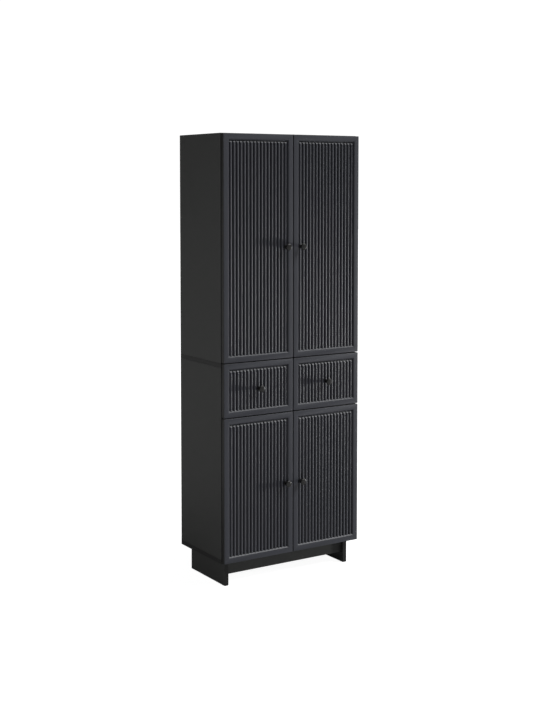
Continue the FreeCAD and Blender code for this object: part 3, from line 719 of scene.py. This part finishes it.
def bumpers():
    lo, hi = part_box("door_bumpers")
    thick = hi.y - lo.y
    r, skirt = bumperLook["radius"], bumperLook["skirt"]
    profile = [(0, 0), (r, 0), (r, thick * skirt)]
    profile += [(r * math.cos(a), thick * (skirt + (1 - skirt) * math.sin(a))) for a in (0.3, 0.7, 1.1)]
    dome = turnedPart("dome", profile + [(0, thick)])
    places = []
    for front in upperDoors + lowerDoors + drawerFronts:
        low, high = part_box(front + "_panel")
        sign = -1 if low.x < 0 else 1
        across = bumperLook["side"] * sign if "door" in front else (low.x + high.x) / 2
        for z in (low.z + bumperLook["inset"], high.z - bumperLook["inset"]):
            places.append(((across, carcassFront, z), (0, -1, 0)))
    settle(scattered("doorBumpers", dome, places, clearGrey), "door_bumpers")
    bpy.data.objects.remove(dome)


pins()
cams()
bolts()
bumpers()
print("fittings made")


frameLook = {"width": 0.026, "bevel": 0.0045, "bevelDepth": 0.0045, "arris": 0.0012, "soft": 0.0004}
reedLook = {"count": 17, "groove": 0.0034, "topGap": 0.0018, "topSlope": 1.4, "sink": 0.00002}
frontFinish = (frontPaint, edgeBand)


def reededPanel(front, bores=()):
    # A flat board with painted shade where it shows between the reeds, with the reeds on it.
    lo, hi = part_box(front + "_panel")
    finishes = frontFinish + (groovePaint,)
    slab = board(front + "Panel", (lo.x, panelFace, lo.z), (hi.x, frontRear, hi.z), finishes, bores)
    # The board's front face gets the darker paint that stands in for the shade between the reeds.
    for face in slab.data.polygons:
        if face.normal.y < -0.9 and face.center.y < panelFace + 0.0001:
            face.material_index = 2
    margin = frameLook["width"]
    field = (hi.x - lo.x) - 2 * margin
    pitch = field / reedLook["count"]
    values = {
        "Count": reedLook["count"], "Pitch": pitch, "Half Width": (pitch - reedLook["groove"]) / 2,
        "Rise": panelFace - reedCrown, "Length": (hi.z - lo.z) - 2 * margin - reedLook["topGap"],
        "Top Slope": reedLook["topSlope"], "Finish": frontPaint,
        "Start": (lo.x + margin + pitch / 2, panelFace + reedLook["sink"], lo.z + margin)}
    return smoothed(runTree(slab, reedRow, values), 25)


def raisedFrame(front):
    # One mitred section of the frame, carried round the four sides as (inset, y) pairs.
    lo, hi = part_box(front + "_frame")
    look = frameLook
    flat = look["width"] - look["bevel"]
    arris = look["arris"]
    section = [(0.0, hi.y)]
    section += [(arris - arris * math.cos(a), lo.y + arris - arris * math.sin(a)) for a in quarter]
    section += [(flat - look["soft"], lo.y), (flat, lo.y + look["soft"] * 0.35),
                (look["width"], lo.y + look["bevelDepth"]), (look["width"], hi.y)]
    bm = bmesh.new()
    loops = []
    for inset, y in section:
        x0, x1, z0, z1 = lo.x + inset, hi.x - inset, lo.z + inset, hi.z - inset
        loops.append([bm.verts.new((x, y, z)) for x, z in ((x0, z0), (x1, z0), (x1, z1), (x0, z1))])
    for near, far in zip(loops, loops[1:] + loops[:1]):
        for side in range(4):
            after = (side + 1) % 4
            bm.faces.new((near[side], near[after], far[after], far[side]))
    piece = fromBmesh(front + "Frame", bm, frontFinish)
    for face in piece.data.polygons:
        outward = abs(face.normal.y) < 0.1
        rim = min(abs(face.center.x - lo.x), abs(face.center.x - hi.x),
                  abs(face.center.z - lo.z), abs(face.center.z - hi.z)) < 0.0001
        face.material_index = 1 if outward and rim else 0
    return smoothed(piece, 20)


knobLook = {"neck": 0.0062, "foot": 0.0078, "footBand": 0.0016, "waist": 0.0076, "flare": 0.0030,
            "flarePower": 2.2, "headThick": 0.009, "backRim": 0.0036, "frontRim": 0.0042, "dome": 0.0006}


def knob(front):
    lo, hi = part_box(front + "_knob")
    look = knobLook
    radius = (hi.z - lo.z) / 2
    reach = hi.y - lo.y
    neck, back, rim = look["neck"], look["backRim"], look["frontRim"]
    head = reach - look["headThick"]
    foot, band, waist = look["foot"], look["footBand"], look["waist"]
    profile = [(0, 0), (foot, 0), (foot, band)]
    profile += [(neck + (foot - neck) * (1 - k / 5) ** 2, band + (waist - band) * k / 5)
                for k in range(1, 6)]
    profile += [(neck + look["flare"] * (k / 5) ** look["flarePower"], waist + (head - waist) * k / 5)
                for k in range(1, 6)]
    profile += arc((radius - back, head + back), back, -78, 0, 6)
    profile += arc((radius - rim, reach - look["dome"] - rim), rim, 2, 80, 7)
    profile += [((radius - rim) * share, reach - look["dome"] * share ** 2) for share in (0.98, 0.7, 0.4)]
    profile += [(0, reach)]
    bm = bmesh.new()
    centre = Vector(((lo.x + hi.x) / 2, hi.y, (lo.z + hi.z) / 2))
    lathe(bm, profile, centre, (0, -1, 0), 56)
    return smoothed(fromBmesh(front + "Knob", bm, [knobCoat]), 50)


cupLook = {"radius": 0.0175, "wall": 0.001, "inset": 0.0225, "skin": 0.0015, "flange": 0.0012,
           "flangeHalf": 0.026, "floorRound": 0.0025, "earHalf": 0.00875, "screwInset": 0.0055,
           "rivet": 0.0014, "rivetOut": 0.009, "rivetSink": 0.0062}
hingeRows = {"inset": 0.090, "shift": 0.062}


def hingeHeights(front):
    lo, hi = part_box(front + "_panel")
    heights = [lo.z + hingeRows["inset"], hi.z - hingeRows["inset"]]
    if front in upperDoors:
        heights.append((lo.z + hi.z) / 2 + hingeRows["shift"])
    return heights


def cupSpots(front):
    lo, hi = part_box(front + "_panel")
    x = lo.x + cupLook["inset"] if lo.x < 0 else hi.x - cupLook["inset"]
    return [(x, frontRear, z) for z in hingeHeights(front)]


def fronts():
    depth = frontRear - panelFace - cupLook["skin"]
    for front in upperDoors + lowerDoors + drawerFronts:
        spots = [] if front in drawerFronts else cupSpots(front)
        bores = [(spot, (0, -1, 0), cupLook["radius"] + borePlay, depth) for spot in spots]
        settle(reededPanel(front, bores), front + "_panel")
        settle(raisedFrame(front), front + "_frame")
        settle(knob(front), front + "_knob")


fronts()
print("fronts made")


screwLook = {"radius": 0.0029, "head": 0.0009, "root": 0.0003, "cross": 0.0017, "crossDepth": 0.0007}


def panScrew():
    # A small pan-head screw with a cross recess, its root a little below z = 0.
    r, rise, root = screwLook["radius"], screwLook["head"], screwLook["root"]
    screw = turnedPart("screw", [(0, -root), (r, -root), (r, rise * 0.3), (r * 0.93, rise * 0.62),
                                 (r * 0.74, rise * 0.88), (r * 0.45, rise), (0, rise)], 20)
    return crossCut(screw, screwLook["cross"], screwLook["crossDepth"], rise)


def screwSet(name, places, finish, body):
    screw = panScrew()
    settle(scattered(name, screw, places, finish), (), body)
    bpy.data.objects.remove(screw)


def addPrism(bm, outline, place, thick, arris):
    # A flat plate from an outline in its own x, y, its top edges lightly rounded.
    lower = [bm.verts.new(place @ Vector((x, y, 0))) for x, y in outline]
    upper = [bm.verts.new(place @ Vector((x, y, thick))) for x, y in outline]
    bm.faces.new(lower[::-1])
    top = bm.faces.new(upper)
    count = len(outline)
    for k in range(count):
        after = (k + 1) % count
        bm.faces.new((lower[k], lower[after], upper[after], upper[k]))
    if arris:
        bmesh.ops.bevel(bm, geom=list(top.edges), offset=arris, segments=2, profile=0.5, affect="EDGES")


def hingeCups(front):
    # Pressed cups with eared flanges, a rivet pin across each cup and two screws in the ears.
    sign = -1 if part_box(front + "_panel")[0].x < 0 else 1
    look = cupLook
    depth = frontRear - panelFace - look["skin"]
    r, wall, flange = look["radius"], look["wall"], look["flange"]
    bm = bmesh.new()
    spots = cupSpots(front)
    for spot in spots:
        outerRound, innerRound = look["floorRound"], 0.002
        profile = [(0, -depth), (r - outerRound, -depth)]
        profile += arc((r - outerRound, -depth + outerRound), outerRound, -90, 0, 4)
        profile += [(r, 0.0), (r, flange - 0.0003), (r - 0.0003, flange), (r - wall, flange)]
        profile += arc((r - wall - innerRound, -depth + wall + innerRound), innerRound, 0, -90, 4)
        profile += [(0, -depth + wall)]
        lathe(bm, profile, spot, (0, 1, 0), 48)
        half = look["earHalf"]
        start = math.sqrt(r * r - half ** 2) - 0.001  # just inside the cup's rim
        ear = [(half, start)] + arc((0, look["flangeHalf"] - half), half, 0, 180, 12) + [(-half, start)]
        for up in (-1, 1):
            place = Matrix(((1, 0, 0, spot[0]), (0, 0, 1, spot[1]), (0, up, 0, spot[2]), (0, 0, 0, 1)))
            addPrism(bm, ear, place, flange, 0.0003)
        reach = math.sqrt((r - wall) ** 2 - look["rivetOut"] ** 2)
        lathe(bm, [(0, -reach), (look["rivet"], -reach), (look["rivet"], reach), (0, reach)],
              (spot[0] + sign * look["rivetOut"], spot[1] - look["rivetSink"], spot[2]), (0, 0, 1), 16)
    cups = smoothed(fromBmesh(front + "HingeCups", bm, [nickel]), 30)
    settle(cups, front + "_hinge_cups")
    out = look["flangeHalf"] - look["screwInset"]
    places = [((x, y + flange, z + up * out), (0, 1, 0)) for x, y, z in spots for up in (-1, 1)]
    screwSet(front + "CupScrews", places, zinc, nodeBody[front + "_panel"])


armLook = {"width": 0.009, "half": 0.006, "nose": 0.007, "length": 0.062, "sheet": 0.0014,
           "plateThick": 0.004, "plateStart": 0.022, "plateHalf": 0.024, "plateLip": 0.002,
           "wingThick": 0.0022, "wingRound": 0.0085, "wingBack": 0.004, "wingScrew": 0.0165,
           "pin": 0.0013, "pinHalf": 0.0058, "linkLength": 0.026}
# Links between arm and cup: how far across they start and end, how far back, and half their height.
armLinks = (((0.0020, 0.0034), 0.0, 0.0042), ((0.0052, 0.0066), 0.001, 0.0036))
armPins = ((0.0022, 0.0043), (0.0150, 0.0045), (0.0225, 0.0045))  # behind the nose, out from the arm
armScrews = (0.030, 0.052)  # behind the carcass front


def hingeArm(bm, sign, z):
    # A channel-shaped arm on a winged mounting plate, with the link's knuckle at its nose.
    look = armLook
    outer = sideInner - look["plateThick"]
    front = carcassFront - look["nose"]
    rear = carcassFront + look["length"]
    near, far = outer - look["width"], outer

    def span(a, b):
        return sorted((sign * a, sign * b))

    def bar(xs, ys, zs, arris=0.0004):
        x = span(*xs)
        addBox(bm, (x[0], ys[0], zs[0]), (x[1], ys[1], zs[1]), arris, 1)

    bar((near, near + look["sheet"]), (front + 0.010, rear), (z - look["half"], z + look["half"]))
    for up in (-1, 1):
        wall = sorted((z + up * look["half"], z + up * (look["half"] - look["sheet"])))
        bar((near + 0.0004, far), (front + 0.012, rear - 0.001), wall)
    for (start, end), setback, tall in armLinks:
        depths = (front + setback, front + look["linkLength"])
        bar((near + start, near + end), depths, (z - tall, z + tall), 0.0005)
    radius, half = look["pin"], look["pinHalf"]
    for along, out in armPins:
        lathe(bm, [(0, -half), (radius, -half), (radius, half), (0, half)],
              (sign * (near + out), front + along, z), (0, 0, 1), 14)
    plate = span(outer, sideInner)
    start = carcassFront + look["plateStart"]
    tall = look["half"] + look["plateLip"]
    addBox(bm, (plate[0], start, z - tall), (plate[1], rear, z + tall), 0.0006, 2)
    middle = (start + rear) / 2 - look["wingBack"]
    tip = look["wingRound"]
    wing = [(0.013, 0.0065)] + arc((0, look["plateHalf"] - tip), tip, 0, 180, 12) + [(-0.013, 0.0065)]
    for up in (-1, 1):
        place = Matrix(((0, 0, -sign, sign * sideInner), (1, 0, 0, middle), (0, up, 0, z), (0, 0, 0, 1)))
        addPrism(bm, wing, place, look["wingThick"], 0.0004)


def hingeArms(level, doors):
    bm = bmesh.new()
    places = []
    look = armLook
    middle = carcassFront + (look["plateStart"] + look["length"]) / 2 - look["wingBack"]
    near = sideInner - look["plateThick"] - look["width"]
    for front in doors:
        sign = -1 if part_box(front + "_panel")[0].x < 0 else 1
        for z in hingeHeights(front):
            hingeArm(bm, sign, z)
            for up in (-1, 1):
                spot = (sign * (sideInner - look["wingThick"]), middle, z + up * look["wingScrew"])
                places.append((spot, (-sign, 0, 0)))
            for along in armScrews:
                places.append(((sign * (near + 0.0003), carcassFront + along, z), (-sign, 0, 0)))
    arms = smoothed(fromBmesh(level + "HingeArms", bm, [nickel]), 30)
    settle(arms, level + "_hinge_arms")
    screwSet(level + "PlateScrews", places, zinc, nodeBody[level + "_hinge_arms"])


for front in upperDoors + lowerDoors:
    hingeCups(front)
hingeArms("upper", upperDoors)
hingeArms("lower", lowerDoors)
print("hinges made")


drawerBoxLook = {"wall": 0.012, "arris": 0.0008}
runnerLook = {"sheet": 0.0012, "outerHalf": 0.0225, "outerWidth": 0.0095, "innerHalf": 0.016,
              "innerStart": 0.003, "corner": 0.0022, "space": 0.0127, "screws": (0.035, 0.130, 0.245),
              "screwStep": 0.02}


def drawerBox(front):
    lo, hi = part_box(front + "_sides")
    wall = drawerBoxLook["wall"]
    finish = (boxBoard, edgeBand)

    def pair(name, node, boxes):
        # Two boards of one height, banded along their top edges.
        bm = bmesh.new()
        for low, high in boxes:
            addBox(bm, low, high, drawerBoxLook["arris"], 2)
        piece = fromBmesh(name, bm, finish)
        top = boxes[0][1][2] - 0.001
        for face in piece.data.polygons:
            face.material_index = 1 if face.normal.z > 0.7 and face.center.z > top else 0
        settle(piece, node)

    pair(front + "Sides", front + "_sides",
         [((lo.x, lo.y, lo.z), (lo.x + wall, hi.y, hi.z)), ((hi.x - wall, lo.y, lo.z), (hi.x, hi.y, hi.z))])
    lo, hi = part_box(front + "_ends")
    pair(front + "Ends", front + "_ends",
         [((lo.x, lo.y, lo.z), (hi.x, lo.y + wall, hi.z)), ((lo.x, hi.y - wall, lo.z), (hi.x, hi.y, hi.z))])
    lo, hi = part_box(front + "_bottom")
    settle(board(front + "Bottom", lo, hi, finish), front + "_bottom")


def channelSection(width, half, openTo):
    # A C section with rolled corners in x (across) and z, open towards openTo (-1 or 1).
    sheet, corner = runnerLook["sheet"], runnerLook["corner"]
    r = corner - sheet * 0.6  # inner corner
    outer = [(width, -half)]
    outer += [(corner - corner * math.sin(a), -half + corner - corner * math.cos(a)) for a in quarter]
    outer += [(corner - corner * math.cos(a), half - corner + corner * math.sin(a)) for a in quarter]
    outer += [(width, half)]
    inner = [(width, half - sheet)]
    inner += [(sheet + r - r * math.sin(a), half - sheet - r + r * math.cos(a)) for a in quarter]
    inner += [(sheet + r - r * math.cos(a), -half + sheet + r - r * math.sin(a)) for a in quarter]
    inner += [(width, -half + sheet)]
    return [(x if openTo > 0 else -x, z) for x, z in outer + inner]


def addChannel(bm, section, start, y0, y1, mid):
    near = [bm.verts.new((start + x, y0, mid + z)) for x, z in section]
    far = [bm.verts.new((start + x, y1, mid + z)) for x, z in section]
    half = len(section) // 2
    count = len(section)
    for k in range(count):
        after = (k + 1) % count
        bm.faces.new((near[k], near[after], far[after], far[k]))
    for ring in (near, far):
        for k in range(half - 1):
            bm.faces.new((ring[k], ring[k + 1], ring[count - 2 - k], ring[count - 1 - k]))


def runners():
    # Side runners: the fixed channel opens inwards on the carcass, the riding one outwards on the box.
    look = runnerLook
    sheet, space, step = look["sheet"], look["space"], look["screwStep"]
    lo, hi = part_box("cabinet_runners")
    fixed = bmesh.new()
    fixedScrews = []
    for front in drawerFronts:
        low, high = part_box(front + "_runners")
        mid = (low.z + high.z) / 2
        walls = (low.x - look["innerStart"], high.x + look["innerStart"])
        riding = bmesh.new()
        ridingScrews = []
        for wall, facing in zip(walls, (1, -1)):
            outer = channelSection(look["outerWidth"], look["outerHalf"], facing)
            addChannel(fixed, outer, wall, lo.y, hi.y, mid)
            inner = channelSection(space - look["innerStart"], look["innerHalf"], -facing)
            addChannel(riding, inner, wall + facing * space, low.y, high.y, mid)
            for along in look["screws"]:
                fixedScrews.append(((wall + facing * sheet, lo.y + along, mid), (facing, 0, 0)))
                spot = (wall + facing * (space - sheet), lo.y + along + step, mid)
                ridingScrews.append((spot, (-facing, 0, 0)))
        channels = smoothed(fromBmesh(front + "Runners", riding, [zinc]), 30)
        settle(channels, front + "_runners")
        screwSet(front + "RunnerScrews", ridingScrews, nickel, nodeBody[front + "_panel"])
    settle(smoothed(fromBmesh("cabinetRunners", fixed, [zinc]), 30), "cabinet_runners")
    screwSet("cabinetRunnerScrews", fixedScrews, nickel, nodeBody["cabinet_runners"])


for front in drawerFronts:
    drawerBox(front)
runners()
print("drawer boxes and runners made")
